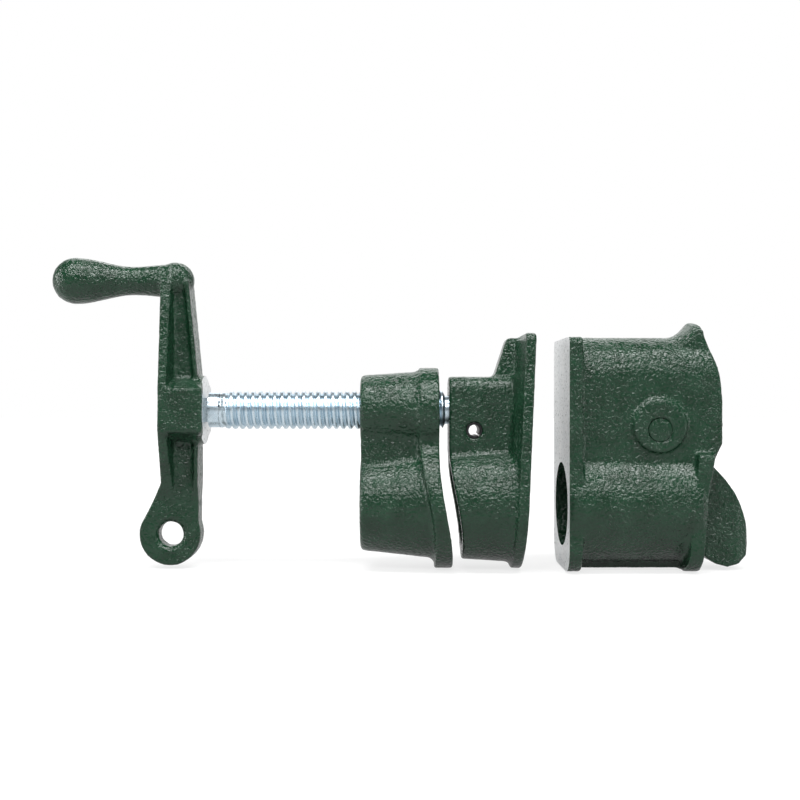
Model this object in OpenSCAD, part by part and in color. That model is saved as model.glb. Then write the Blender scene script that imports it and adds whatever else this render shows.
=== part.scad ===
// Pipe clamp set for a 3/4 inch pipe, without the pipe: a screwed head, the jaw that it drives,
// and a tail that slides along the pipe and is held by a toothed cam on a lever.
// X runs along the pipe from the crank to the tail, Z is up, and Y = 0 is the plane of symmetry.
// The origin is on the pipe axis, in the plane of the upper part of the head's face.

/* [Pipe and screw] */
// Bore in the sliding castings, for a pipe of 26.7 mm
pipe_bore_d = 27.6; // [27.2:0.1:29]
// Bore of the head at the crests of its pipe thread
pipe_thread_d = 24.2; // [22:0.1:25.4]
// Chamfer at the mouths of the pipe bores
bore_chamfer = 1.2; // [0.4:0.1:2]
// Height of the screw axis above the pipe axis
screw_height = 31.2; // [29:0.1:36]
// Depth of the standing surface below the pipe axis
base_depth = 21.1; // [20:0.1:24]
// Outside diameter of the screw thread
screw_d = 12.7; // [10:0.1:15]
// Distance from one ridge of the thread to the next
thread_pitch = 2.4; // [2:0.05:3]
// Depth of the thread
thread_depth = 1.1; // [0.6:0.05:1.4]
// Running clearance of the screw in the head, on the radius
screw_gap = 0.05; // [0.02:0.01:0.2]
// Diameter of the plain shank behind the thread
shank_d = 11.7; // [9:0.1:14]
// Length of the plain shank
shank_l = 3.6; // [1:0.1:8]
// Diameter of the plain tip that turns in the jaw
tip_d = 9.4; // [7:0.1:11]
// Running clearance of the tip in its socket, on the radius
tip_gap = 0.08; // [0.02:0.01:0.3]
// Length of the tip inside the jaw
tip_in_jaw = 14.5; // [12:0.1:18]
// Side of the square tang that holds the crank
tang_w = 8; // [5:0.1:9]
// Part of the tang that shows between crank and shank
tang_free = 1.6; // [0.4:0.1:4]
// Diameter of the peened end of the tang
rivet_d = 11.4; // [10:0.1:14]

/* [Head casting] */
// Length of the head from its outer end to its upper face
head_l = 25.9; // [20:0.1:34]
// Screw barrel radius at the outer end
head_screw_r0 = 11.6; // [9:0.1:14]
// Screw barrel radius at the flange
head_screw_r1 = 13; // [10:0.1:15]
// Pipe barrel radius at the outer end
head_pipe_r0 = 15.6; // [14.6:0.1:19]
// Pipe barrel radius at the flange
head_pipe_r1 = 17.9; // [15:0.1:20]
// Radius of the flange round the screw
head_lobe_top = 14; // [13.2:0.1:17]
// Radius of the flange round the pipe
head_lobe_bottom = 21.3; // [20.2:0.1:24]
// How far the flange's face steps forward from top to bottom
head_face_step = 4.5; // [0:0.1:7]
// Flange thickness at the top
head_flange_top = 6.5; // [4:0.1:9]
// Flange thickness at the bottom
head_flange_bottom = 5.9; // [4:0.1:9]
// Half width of the web between the two barrels
head_web = 8.8; // [4:0.1:10]

/* [Jaw casting] */
// Gap from the head's upper face to the jaw at rest
jaw_gap = 3.3; // [3:0.1:6]
// Half width of the box round the screw tip
jaw_box_w = 8; // [6.4:0.1:12]
// Height of the box above the screw axis
jaw_box_up = 11; // [8:0.1:14]
// Corner radius of the box's top edges
jaw_box_round = 4.6; // [1:0.1:6]
// Length of the jaw from its upper end to the top of its face
jaw_l = 27.7; // [25:0.1:36]
// How far the collar's end steps forward from top to bottom
jaw_end_step = 4.2; // [0:0.1:7]
// Collar radius at its outer end
jaw_collar_r0 = 18; // [16:0.1:20]
// Collar radius at the jaw plate
jaw_collar_r1 = 19.4; // [16:0.1:21]
// Radius of the plate round the pipe
jaw_plate_r = 21.5; // [20.5:0.1:24]
// Thickness of the plate at its edges
jaw_plate_t = 3.4; // [2.5:0.1:6]
// How much thicker the plate is behind its middle
jaw_plate_swell = 2.6; // [1:0.1:5]
// Half width of the plate at the top
jaw_plate_w = 16.6; // [12:0.1:19]
// Height of the plate above the pipe axis
jaw_plate_top = 56; // [50:0.1:64]
// Lean of the jaw face, so that its top meets the work first
jaw_lean = 3; // [0:0.1:4]
// Height of the web behind the plate, above the pipe axis
jaw_web_top = 55; // [50:0.1:60]
// Half width of that web at its root
jaw_web_w = 5.2; // [3:0.1:7]
// Distance of the roll pin from the jaw's upper end
roll_pin_x = 8.2; // [6:0.1:10]

/* [Roll pin] */
// Outside diameter of the roll pin
roll_pin_d = 5.3; // [4:0.1:6]
// Wall of the roll pin
roll_pin_wall = 0.8; // [0.5:0.1:1.2]
// Width of the slit along the roll pin
roll_pin_slit = 0.7; // [0.3:0.1:1.5]
// How deep the roll pin sits in the groove of the screw tip
roll_pin_bite = 0.7; // [0.4:0.05:1.2]

/* [Crank] */
// Width of the crank arms along the pipe
crank_w = 14.4; // [11:0.1:18]
// Half thickness of the crank at the hub
crank_hub_t = 11.8; // [11.4:0.1:14]
// Half thickness of the crank at the grip end
crank_top_t = 6.8; // [5:0.1:9]
// Half thickness of the web and of the eye
crank_web_t = 3.9; // [2.5:0.1:6]
// Thickness of the deep side flange
crank_rib = 2.6; // [1.5:0.1:3.5]
// How far the arms stay behind the hub's machined side
crank_step = 2.4; // [1:0.1:4]
// Half thickness of the arms at their low side flange
crank_low_t = 5.6; // [4.6:0.1:6.4]
// Thickness of that flange
crank_low_rib = 1.4; // [0.8:0.1:3]
// Draft of the pockets' walls
crank_draft = 1.4; // [0.4:0.1:2]
// Radius of the spot face that the screw seats on
spot_r = 11.05; // [9:0.05:11.2]
// Depth of the spot face
spot_depth = 0.8; // [0.2:0.1:2]
// Distance of the grip's axis from the screw axis
grip_offset = 43; // [38:0.1:60]
// Reach of the grip from the elbow's centre to its end
grip_l = 40.9; // [34:0.1:80]
// Radius of the elbow
elbow_r = 6.2; // [5:0.1:8]
// Radius of the grip's waist
grip_waist_r = 4.7; // [3.5:0.1:6]
// Radius of the bulb at the grip's end
grip_bulb_r = 7.7; // [6:0.1:10]
// Distance of the eye from the screw axis
eye_offset = 41.1; // [36:0.1:42]
// Outer radius of the eye
eye_r = 10; // [8:0.1:10.6]
// Radius of the hole in the eye
eye_hole_r = 4.1; // [2.5:0.1:6]

/* [Tail casting] */
// Gap between jaw face and tail face at rest
throat_gap = 10.1; // [4:0.1:60]
// Length of the tail from its face to its rear end
tail_l = 50; // [46:0.1:60]
// Thickness of the tail's face plate
tail_plate_t = 4.4; // [3:0.1:8]
// Half width of the face plate
tail_plate_w = 18; // [16:0.1:22]
// Height of the face plate above the pipe axis
tail_plate_top = 54.7; // [52:0.1:64]
// Radius of the plate's bottom corners
tail_foot_r = 8; // [3:0.1:10]
// Radius of the tail's pipe barrel
tail_barrel_r = 19.4; // [17:0.1:20.5]
// Half width of the hood over the lever
hood_w = 13.6; // [12:0.1:15]
// Height of the centre of the hood's round top
hood_z = 41.6; // [38:0.1:44]
// Half width of the space inside the hood
hood_in_w = 10; // [8.4:0.1:10.4]
// How far the horn rises above the hood
horn_rise = 5; // [1:0.1:8]
// Radius of the boss round the pivot
boss_r = 8.6; // [6:0.05:10]
// Height of the boss's centre above the pivot
boss_up = 1.3; // [0:0.1:2]
// Height of the boss above the hood's side
boss_h = 1.4; // [0.4:0.1:3]
// Relief of the bore between its two lands, on the radius
bore_relief = 1.2; // [0.8:0.1:2]
// Thickness of the rear flange
rear_flange_t = 4.8; // [3:0.1:6]

/* [Cam lever] */
// Distance of the pivot behind the tail's face
pivot_x = 29.6; // [27:0.1:31]
// Height of the pivot above the pipe axis
pivot_z = 24.9; // [24.4:0.1:26]
// Diameter of the pivot pin
pivot_d = 7.4; // [5:0.1:9]
// Running clearance of the lever on its pin, on the radius
pivot_gap = 0.06; // [0.02:0.01:0.2]
// Half thickness of the lever's leaf
leaf_t = 7; // [4:0.1:8]
// Half thickness of the lever's hub and cam
cam_t = 5; // [4:0.1:6]
// Radius of the lever's hub
lever_hub_r = 8.6; // [7:0.1:9.5]
// Cam radius where the raised lever lets the pipe go
cam_r0 = 10.7; // [10:0.1:10.9]
// Growth of the cam radius for each degree that the lever is lowered
cam_growth = 0.046; // [0.03:0.001:0.06]
// Angle by which the lever can be raised
lever_lift = 72; // [60:1:76]
// How far the leaf reaches behind the rear flange
leaf_reach = 18.3; // [12:0.1:20]
// Height of the leaf's lowest point above the standing surface
leaf_rise = 0.9; // [0.4:0.1:4]
// Number of teeth on the cam
cam_teeth = 12; // [6:1:16]
// Depth of the cam's teeth
tooth_h = 0.8; // [0.3:0.1:1.2]

/* [Lever spring] */
// Diameter of the spring's wire
wire_d = 1.4; // [0.8:0.1:1.8]
// Pitch of the spring's turns
wire_pitch = 2; // [1.85:0.05:2.1]
// Length of the spring's leg in the hood
spring_leg = 14; // [8:0.1:14.2]
// Clear radius between the spring's turns and the pin
coil_gap = 0.5; // [0.2:0.1:1]

/* [Hidden] */

green = [0.13, 0.22, 0.17];
zinc = [0.78, 0.82, 0.86];
steel = [0.45, 0.46, 0.48];

eps = 0.05;          // overshoot of a cutting tool past the surface that it cuts
fine = 96;           // facets of a full circle
pipe_r = pipe_bore_d / 2;
fillet = 2.5;        // radius of the castings' inner corners
edge = 1.6;          // radius of the castings' outer edges
seat_gap = 0.02;     // clearance of pieces that are driven or peened together

// Places along the pipe
head_x0 = -head_l;
jaw_x0 = jaw_gap;
jaw_face_x = jaw_x0 + jaw_l;
tail_x0 = jaw_face_x + throat_gap;
tail_x1 = tail_x0 + tail_l;
thread_x1 = jaw_x0 - 1.2;
tip_x1 = jaw_x0 + tip_in_jaw;
roll_x = jaw_x0 + roll_pin_x;
roll_z = screw_height - tip_d / 2 - roll_pin_d / 2 + roll_pin_bite;
screw_travel = 46.5;                            // travel of the jaw from rest to the end of the thread
thread_x0 = head_x0 - screw_travel - 0.2;
shank_x0 = thread_x0 - shank_l;
crank_face_x = shank_x0 - tang_free;            // bottom of the spot face
crank_x1 = crank_face_x + spot_depth;           // right side of the arms at the hub
crank_x0 = crank_x1 - crank_w;
pivot = [tail_x0 + pivot_x, pivot_z];

// ---- helpers -------------------------------------------------------------------------------

// Rise from 0 to 1 along an S curve
function s_curve(t) = let (u = min(1, max(0, t))) u * u * (3 - 2 * u);

// Points of an arc about c
function arc(c, r, a0, a1, n = 8) =
    [for (i = [0:n]) let (a = a0 + (a1 - a0) * i / n) [c[0] + r * cos(a), c[1] + r * sin(a)]];

// A profile in (X, Z) made thick along Y
module along_y(t) rotate([90, 0, 0]) linear_extrude(t, center = true) children();

// A profile in (Y, Z) made long along X
module along_x(x0, x1) translate([x0, 0, 0]) rotate([90, 0, 90]) linear_extrude(x1 - x0) children();

// A body of revolution about a line along X at height z, from a profile of (radius, x)
module about_x(z) translate([0, 0, z]) rotate([0, 90, 0]) rotate_extrude($fn = fine) children();

// A cylinder or cone along X
module rod_x(x0, x1, r0, z = 0, r1 = undef)
    translate([x0, 0, z]) rotate([0, 90, 0])
        cylinder(h = x1 - x0, r1 = r0, r2 = is_undef(r1) ? r0 : r1, $fn = fine);

// A cylinder along Y, centred on the plane of symmetry
module rod_y(c, r, t) translate([c[0], 0, c[1]]) rotate([90, 0, 0]) cylinder(h = t, r = r, center = true, $fn = fine);

// Barrel with a rounded outer edge at x0 and a taper up to x1
module barrel(x0, x1, r0, r1, z) about_x(z)
    polygon(concat([[0, x0]], [for (p = arc([x0 + edge, r0 - edge], edge, 180, 90)) [p[1], p[0]]], [[r1, x1], [0, x1]]));

// Two round lobes, one above the other, with a fillet in each side of the waist
module lobes(r_top, r_bottom, waist) {
    span = screw_height;
    a = ((r_top + waist) * (r_top + waist) - (r_bottom + waist) * (r_bottom + waist) + span * span) / (2 * span);
    h = sqrt((r_top + waist) * (r_top + waist) - a * a);
    translate([0, span]) circle(r_top, $fn = fine);
    circle(r_bottom, $fn = fine);
    difference() {
        polygon([[0, span], [h, span - a], [0, 0], [-h, span - a]]);
        for (s = [-1, 1]) translate([s * h, span - a]) circle(waist, $fn = fine);
    }
}

// Everything above the standing surface
module above_base() translate([-60, -base_depth]) square([120, 120]);

// ---- head ----------------------------------------------------------------------------------

// Front face of the head flange at height z, and the back of the flange
function head_front(z) = head_face_step * s_curve((15 - z) / (15 + base_depth));
function head_back(z) = -head_flange_top
    + (head_face_step - head_flange_bottom + head_flange_top) * s_curve((22 - z) / 34);

module head_side_profile() polygon(concat(
    [for (z = [screw_height + head_lobe_top:-2:-base_depth]) [head_front(z), z]],
    [[head_front(-base_depth), -base_depth - 1], [head_back(-base_depth), -base_depth - 1]],
    [for (z = [-base_depth:2:screw_height + head_lobe_top]) [head_back(z), z]],
    [[-head_flange_top, screw_height + head_lobe_top + 1], [0, screw_height + head_lobe_top + 1]]));

thread_flare = (pipe_bore_d - pipe_thread_d) / 2 + 0.1;
mouth_x = 0.6 * head_face_step;

module head_casting() color(green) difference() {
    union() {
        barrel(head_x0, -head_flange_top / 2, head_screw_r0, head_screw_r1, screw_height);
        intersection() {
            barrel(head_x0, head_front(0), head_pipe_r0, head_pipe_r1 + 0.5, 0);
            along_y(60) polygon(concat(
                [[head_x0 - 1, -30], [head_x0 - 1, 30]],
                [for (z = [30:-2:-30]) [(head_front(z) + head_back(z)) / 2, z]]));
        }
        along_x(head_x0 + 0.3, -head_flange_top / 2)
            translate([-head_web, head_pipe_r0 / 2]) square([2 * head_web, screw_height - head_pipe_r0 / 2]);
        intersection() {
            along_x(-20, 20) intersection() {
                lobes(head_lobe_top, head_lobe_bottom, fillet * 2);
                above_base();
            }
            along_y(60) head_side_profile();
        }
    }
    rod_x(head_x0 - 20, 20, screw_d / 2 + screw_gap, screw_height);
    rod_x(head_x0 - eps, head_x0 + bore_chamfer, screw_d / 2 + bore_chamfer, screw_height, screw_d / 2);
    rod_x(head_x0 - 20, 20, pipe_thread_d / 2);
    rod_x(head_x0 - eps, head_x0 + bore_chamfer, pipe_thread_d / 2 + bore_chamfer, 0, pipe_thread_d / 2);
    // the thread's mouth is wider than the pipe, so that the pipe can screw in
    rod_x(mouth_x - thread_flare, mouth_x, pipe_thread_d / 2, 0, pipe_thread_d / 2 + thread_flare);
    rod_x(mouth_x - eps, 20, pipe_thread_d / 2 + thread_flare);
}

// ---- screw ---------------------------------------------------------------------------------

// Ridges of the thread from the run-out to the chamfer at its end, as rings one pitch apart
thread_turns = floor((thread_x1 - 2 - thread_x0) / thread_pitch);
thread_root = screw_d / 2 - thread_depth;
function ridge(x) = [[thread_root, x], [screw_d / 2, x + 0.3 * thread_pitch],
                     [screw_d / 2, x + 0.62 * thread_pitch], [thread_root, x + 0.92 * thread_pitch]];
thread_profile = [for (i = [0:thread_turns - 1], p = ridge(thread_x0 + 1.2 + i * thread_pitch)) p];

module screw() color(zinc) union() {
    difference() {
        about_x(screw_height) polygon(concat([
            [0, shank_x0], [shank_d / 2, shank_x0],
            [shank_d / 2, thread_x0], [screw_d / 2, thread_x0 + 0.2], [screw_d / 2, thread_x0 + 0.6]], thread_profile, [
            [screw_d / 2, thread_x1 - 1.6], [screw_d / 2, thread_x1 - 0.8], [tip_d / 2, thread_x1],
            [tip_d / 2, tip_x1 - 1], [tip_d / 2 - 1, tip_x1], [0, tip_x1]]));
        translate([roll_x, 0, screw_height]) rotate([0, 90, 0])
            rotate_extrude($fn = fine) translate([screw_height - roll_z, 0])
                circle(roll_pin_d / 2 + 0.15, $fn = 48);
    }
    translate([crank_x0 + 1.5, -tang_w / 2, screw_height - tang_w / 2])
        cube([shank_x0 - crank_x0 - 1.5, tang_w, tang_w]);
    rod_x(crank_x0 - 0.6, crank_x0 + 1.5, rivet_d / 2 - 1, screw_height, rivet_d / 2);
}

// ---- crank ---------------------------------------------------------------------------------

crank_eye = [crank_x0 + 2.7, screw_height - eye_offset];
elbow = [crank_x0 + 3.8, screw_height + grip_offset];
arm_x1 = crank_x1 - crank_step;                       // low side of the arms, next to the hub
arm_top_w = crank_w - crank_step - 3.1;               // width of the arm below the elbow
hub_half = 7;                                         // half height of the hub's flat sides
pocket_end = 4;                                       // height of the sloping end of a pocket
pocket_lean = atan((crank_w - crank_step - arm_top_w) / (grip_offset - hub_half - pocket_end));

// Outline of the arms and the eye, seen from the side
module crank_outline() {
    polygon([
        [crank_x0, screw_height], [crank_x0, elbow[1]],
        [crank_x0 + arm_top_w, elbow[1]],
        [arm_x1, screw_height + hub_half + pocket_end], [crank_x1, screw_height + hub_half],
        [crank_x1, screw_height - hub_half], [arm_x1, screw_height - hub_half - pocket_end],
        [arm_x1, crank_eye[1]],
        [crank_eye[0], crank_eye[1]],
        [crank_x0 - 0.2, crank_eye[1] + 15]]);
    polygon(concat(
        [[crank_x0, crank_eye[1] + 17.5]],
        arc(crank_eye, eye_r, 150, 180, 3),
        [crank_eye, [crank_x0 + 6, crank_eye[1] + 17]]));
    translate(crank_eye) circle(eye_r, $fn = fine);
}

// Thickness of the crank, seen along the pipe
module crank_wedge() {
    z_hub = screw_height;
    polygon([
        [-crank_hub_t, z_hub - hub_half], [-crank_hub_t, z_hub + hub_half],
        [-crank_top_t, elbow[1]], [crank_top_t, elbow[1]],
        [crank_hub_t, z_hub + hub_half], [crank_hub_t, z_hub - hub_half],
        [crank_web_t, crank_eye[1] + 12], [-crank_web_t, crank_eye[1] + 12]]);
    translate([-crank_web_t, crank_eye[1] - eye_r]) square([2 * crank_web_t, elbow[1] - crank_eye[1] + eye_r]);
}

// A pocket in one side of an arm: sloping end wall by the hub, drafted side walls
module crank_pocket(up) {
    z0 = up * (hub_half);
    depth = crank_hub_t - crank_web_t;
    far = up * 60;
    intersection() {
        along_x(crank_x0, crank_x1 + 5) polygon([
            [-crank_hub_t - 1, screw_height + z0 - up * 0.4],
            [-crank_web_t, screw_height + z0 + up * (pocket_end - 0.4)],
            [-crank_web_t, screw_height + far], [-crank_hub_t - 1, screw_height + far]]);
        translate([0, 0, screw_height - 60]) linear_extrude(120) polygon([
            [crank_x0 + crank_rib, -crank_hub_t - eps], [crank_x0 + crank_rib + crank_draft, -crank_web_t + eps],
            [crank_x1 + 5, -crank_web_t + eps], [crank_x1 + 5, -crank_hub_t - eps]]);
        // the low flange stands on this side
        translate([arm_x1, 0, screw_height + hub_half + pocket_end]) rotate([0, up > 0 ? -pocket_lean : 0, 0])
            translate([0, 0, -80]) linear_extrude(160) polygon([
                [-40, -crank_hub_t - 2], [-40, -crank_web_t + eps], [-crank_low_rib - 0.4, -crank_web_t + eps],
                [-crank_low_rib, -crank_low_t], [12, -crank_low_t], [12, -crank_hub_t - 2]]);
    }
}

// Radius of the grip at a share t of the way from the elbow to the bulb
function grip_r(t) = t < 0.42
    ? elbow_r - 0.6 + (grip_waist_r - elbow_r + 0.6) * s_curve(t / 0.42)
    : grip_waist_r + (grip_bulb_r - grip_waist_r) * s_curve((t - 0.42) / 0.58);

module grip() {
    bulb_x = elbow[0] - grip_l + grip_bulb_r;
    about_x(elbow[1]) polygon(concat(
        [[0, elbow[0]]],
        [for (i = [0:14]) [grip_r(i / 14), elbow[0] + (bulb_x - elbow[0]) * i / 14]],
        [for (p = arc([bulb_x, 0], grip_bulb_r, 90, 180, 10)) [max(0, p[1]), p[0]]]));
    translate([elbow[0], 0, elbow[1]]) sphere(elbow_r, $fn = 48);
}

module crank_handle() color(green) difference() {
    union() {
        difference() {
            intersection() {
                along_y(60) crank_outline();
                along_x(crank_x0 - 20, crank_x1 + 5) crank_wedge();
            }
            for (side = [0, 1], up = [1, -1]) mirror([0, side, 0]) crank_pocket(up);
        }
        // round boss for the spot face
        rod_x(crank_x1 - crank_step - 3, crank_face_x, spot_r + 0.3, screw_height);
        grip();
    }
    rod_x(crank_face_x, crank_x1 + 5, spot_r, screw_height);
    translate([crank_x0 - 5, -tang_w / 2 - seat_gap, screw_height - tang_w / 2 - seat_gap])
        cube([crank_w + 10, tang_w + 2 * seat_gap, tang_w + 2 * seat_gap]);
    rod_x(crank_x0 - 5, crank_x0 + 1.5 + seat_gap, rivet_d / 2 + seat_gap, screw_height);
    rod_y(crank_eye, eye_hole_r, 60);
    for (s = [-1, 1]) translate([crank_eye[0], s * (crank_web_t - bore_chamfer), crank_eye[1]]) rotate([-90 * s, 0, 0])
        cylinder(h = bore_chamfer + eps, r1 = eye_hole_r, r2 = eye_hole_r + bore_chamfer + eps, $fn = fine);
}

// ---- jaw -----------------------------------------------------------------------------------

// Outer end of the jaw at height z
function jaw_end(z) = jaw_x0 + jaw_end_step * s_curve((19 - z) / 33);

socket_x1 = tip_x1 + 0.3;
// End of the collar and the box, inside the leaning plate at every height
jaw_body_x1 = jaw_face_x - (jaw_plate_top + jaw_plate_r) * tan(jaw_lean) - edge / 2;

// Seen from the front: straight sides above a round lower end
module jaw_plate_outline(w, top, r) {
    corner = 2.5;
    polygon(concat(
        arc([w - corner, top - corner], corner, 0, 90, 5),
        arc([corner - w, top - corner], corner, 90, 180, 5),
        [[-r * cos(6), r * sin(6)], [r * cos(6), r * sin(6)]]));
    circle(r, $fn = fine);
}

module jaw_box_outline() {
    top = screw_height + jaw_box_up;
    polygon(concat(
        [[jaw_box_w, 8]],
        arc([jaw_box_w - jaw_box_round, top - jaw_box_round], jaw_box_round, 0, 90, 6),
        arc([jaw_box_round - jaw_box_w, top - jaw_box_round], jaw_box_round, 90, 180, 6),
        [[-jaw_box_w, 8]]));
}

module jaw_casting() color(green) difference() {
    union() {
        // collar and box, ended by the same curve that follows the head's face
        intersection() {
            union() {
                rod_x(jaw_x0, jaw_body_x1, jaw_collar_r0, 0, jaw_collar_r1);
                along_x(jaw_x0, jaw_body_x1) jaw_box_outline();
            }
            along_y(60) polygon(concat(
                [for (z = [48:-2:-24]) [jaw_end(z), z]],
                [[jaw_body_x1, -24], [jaw_body_x1, 48]]));
        }
        // plate, leaning about the top of its face, with a back that thickens towards the middle
        translate([jaw_face_x, 0, jaw_plate_top]) rotate([0, jaw_lean, 0]) translate([0, 0, -jaw_plate_top]) {
            along_x(-jaw_plate_t, 0) jaw_plate_outline(jaw_plate_w, jaw_plate_top, jaw_plate_r);
            translate([0, 0, 2]) linear_extrude(screw_height + jaw_box_up - 2) polygon([
                [-jaw_plate_t + eps, -jaw_plate_w], [-jaw_plate_t - jaw_plate_swell, -jaw_box_w + eps],
                [-jaw_plate_t - jaw_plate_swell, jaw_box_w - eps], [-jaw_plate_t + eps, jaw_plate_w]]);
            translate([0, 0, 30]) linear_extrude(jaw_web_top - 31) polygon([
                [-jaw_plate_t + eps, -jaw_plate_w + 1.5], [-jaw_plate_t - 2, -jaw_web_w],
                [-jaw_plate_t - 2, jaw_web_w], [-jaw_plate_t + eps, jaw_plate_w - 1.5]]);
        }
        // web that stiffens the top of the plate
        intersection() {
            along_y(2 * jaw_web_w) polygon(concat(
                [[jaw_face_x - 4, screw_height], [jaw_face_x - 13.6, screw_height],
                 [jaw_face_x - 12.7, screw_height + jaw_box_up]],
                arc([jaw_face_x - 7.4, jaw_web_top - 1.6], 1.6, 162, 90, 5),
                [[jaw_face_x - 3, jaw_web_top]]));
            along_x(0, jaw_face_x) polygon([
                [-jaw_web_w, 20], [-jaw_web_w, screw_height + jaw_box_up], [-jaw_web_w + 1.4, jaw_web_top + 1],
                [jaw_web_w - 1.4, jaw_web_top + 1], [jaw_web_w, screw_height + jaw_box_up], [jaw_web_w, 20]]);
        }
    }
    // pipe bore, socket of the screw tip and cross hole of the roll pin
    rod_x(jaw_x0 - 5, jaw_face_x + 10, pipe_r);
    rod_x(jaw_x0 - 5, socket_x1, tip_d / 2 + tip_gap, screw_height);
    rod_y([roll_x, roll_z], roll_pin_d / 2 + seat_gap, 60);
    // flat under the round lower end
    translate([jaw_x0 - 10, -40, -base_depth - 10]) cube([60, 80, 10]);
}

// ---- roll pin ------------------------------------------------------------------------------

module jaw_roll_pin() color(steel) difference() {
    rod_y([roll_x, roll_z], roll_pin_d / 2, 2 * jaw_box_w - 0.6);
    rod_y([roll_x, roll_z], roll_pin_d / 2 - roll_pin_wall, 60);
    translate([roll_x, 0, roll_z]) rotate([0, 45, 0])
        translate([0, -30, -roll_pin_slit / 2]) cube([roll_pin_d, 60, roll_pin_slit]);
}

// ---- tail ----------------------------------------------------------------------------------

rear_x = tail_x1;                                 // rearmost point of the hood
hood_top = hood_z + hood_w;
horn_tip = hood_top + horn_rise;
flange_top = 17.3;                                // top of the rear flange
flange_foot_x = tail_x1 - 7.4;                    // rear flange's outer face at the standing surface
flange_head_x = tail_x1 - 3.1;                    // the same face where it meets the hood

cavity_x0 = pivot[0] - 14.5;                      // front of the space for the lever

// Face plate and rear flange seen from the front
module tail_outline(w, top, corner) polygon(concat(
    arc([w - corner, top - corner], corner, 0, 90, 5),
    arc([corner - w, top - corner], corner, 90, 180, 5),
    arc([tail_foot_r - w, tail_foot_r - base_depth], tail_foot_r, 180, 270, 8),
    arc([w - tail_foot_r, tail_foot_r - base_depth], tail_foot_r, 270, 360, 8)));

// Hood seen from the front
module hood_outline(w, z_low) {
    translate([0, hood_z]) circle(w, $fn = fine);
    translate([-w, z_low]) square([2 * w, hood_z - z_low]);
}

// Hood seen from the side: its rear edge runs up into the horn
horn_x0 = rear_x - 15.4;                          // where the horn begins to rise
horn_l = 6.6;
module hood_side() polygon(concat(
    [[tail_x0 + 1, 0], [tail_x0 + 1, hood_top + 0.2], [horn_x0, hood_top]],
    [for (i = [1:8]) let (t = i / 8) [horn_x0 + horn_l * t, hood_top + (horn_rise - 0.5) * t * t]],
    arc([rear_x - 7.7, horn_tip - 2.2], 2.2, 105, 15, 8),
    [[rear_x - 4.9, 54.8], [rear_x - 3, 50.2], [rear_x - 1.4, 45], [rear_x - 0.6, 41], [rear_x - 0.1, 36], [rear_x, 33], [rear_x, 20.3],
     [rear_x - 1.9, 16.5], [flange_head_x, 13], [flange_head_x - 5, 0]]));

// The horn is a thumb rest on top of the hood: a flare with steep sides that widens towards the rear
module horn() intersection() {
    about_x(hood_z) polygon(concat(
        [[0, rear_x - 19]],
        [for (i = [0:9]) let (t = i / 9) [hood_w + horn_rise * t * t, horn_x0 + (horn_l + 0.8) * t]],
        [[hood_w + horn_rise, rear_x + 2], [0, rear_x + 2]]));
    along_y(60) hood_side();
    translate([0, 0, hood_z]) linear_extrude(hood_w + 2 * horn_rise) polygon([
        [rear_x - 19, -6], [horn_x0 - 1.5, -7], [horn_x0 + 4.5, -10], [rear_x + 2, -10.8],
        [rear_x + 2, 10.8], [horn_x0 + 4.5, 10], [horn_x0 - 1.5, 7], [rear_x - 19, 6]]);
}

module tail_casting() color(green) difference() {
    union() {
        along_x(tail_x0, tail_x0 + tail_plate_t) tail_outline(tail_plate_w, tail_plate_top, 2);
        rod_x(tail_x0 + 1, flange_foot_x, tail_barrel_r);
        intersection() {
            along_x(tail_x0 + 1, rear_x + 1) hood_outline(hood_w, 0);
            along_y(60) hood_side();
        }
        horn();
        // rear flange, leaning forward at its foot
        intersection() {
            along_x(tail_x0, rear_x + 5) tail_outline(tail_plate_w, flange_top, 1.5);
            along_y(60) polygon([
                [flange_foot_x, -base_depth - 1], [flange_head_x - 2.4, 4], [flange_head_x, flange_top + 1],
                [flange_head_x - 0.6 - rear_flange_t, flange_top + 1], [flange_foot_x - rear_flange_t, -base_depth - 1]]);
        }
        // rib under the barrel
        along_x(tail_x0 + 1, flange_foot_x - 1) translate([-5.5, -base_depth + 0.4])
            square([11, base_depth - pipe_r - 1.5]);
        rod_y(pivot + [0, boss_up], boss_r, 2 * (hood_w + boss_h));
    }
    rod_x(tail_x0 - 5, rear_x + 10, pipe_r);
    // the bore is relieved between a land at the front and one in the rear flange
    rod_x(cavity_x0, flange_foot_x - rear_flange_t, pipe_r + bore_relief);
    // space for the lever, open behind and down into the pipe bore
    difference() {
        along_x(cavity_x0, rear_x + 10) hood_outline(hood_in_w, 0);
        along_y(60) polygon([[rear_x - 9, hood_top + 10], [rear_x - 9, hood_z + 8.5], [pivot[0] - 20, hood_z - 12],
                             [pivot[0] - 20, hood_top + 10]]);
    }
    rod_y(pivot, pivot_d / 2 + seat_gap, 60);
}

// ---- lever ---------------------------------------------------------------------------------

pivot_r = pivot_d / 2 + pivot_gap;
// Angle of the cam's low end at rest, counted from straight down towards the rear
cam_low = -lever_lift;
cam_span = 78;
function cam_r(a) = cam_r0 + cam_growth * (a - cam_low);
// Point at radius r and angle a from straight down
function from_pivot(r, a) = [pivot[0] + r * sin(a), pivot[1] - r * cos(a)];

module cam_outline() polygon(concat(
    [pivot],
    [from_pivot(cam_r(cam_low), cam_low - 14)],
    [for (i = [0:cam_teeth - 1], k = [0, 1]) let (a = cam_low + (i + k * 0.72) * cam_span / cam_teeth)
        from_pivot(cam_r(a) - (k == 0 ? tooth_h : 0), a)]));

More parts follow.
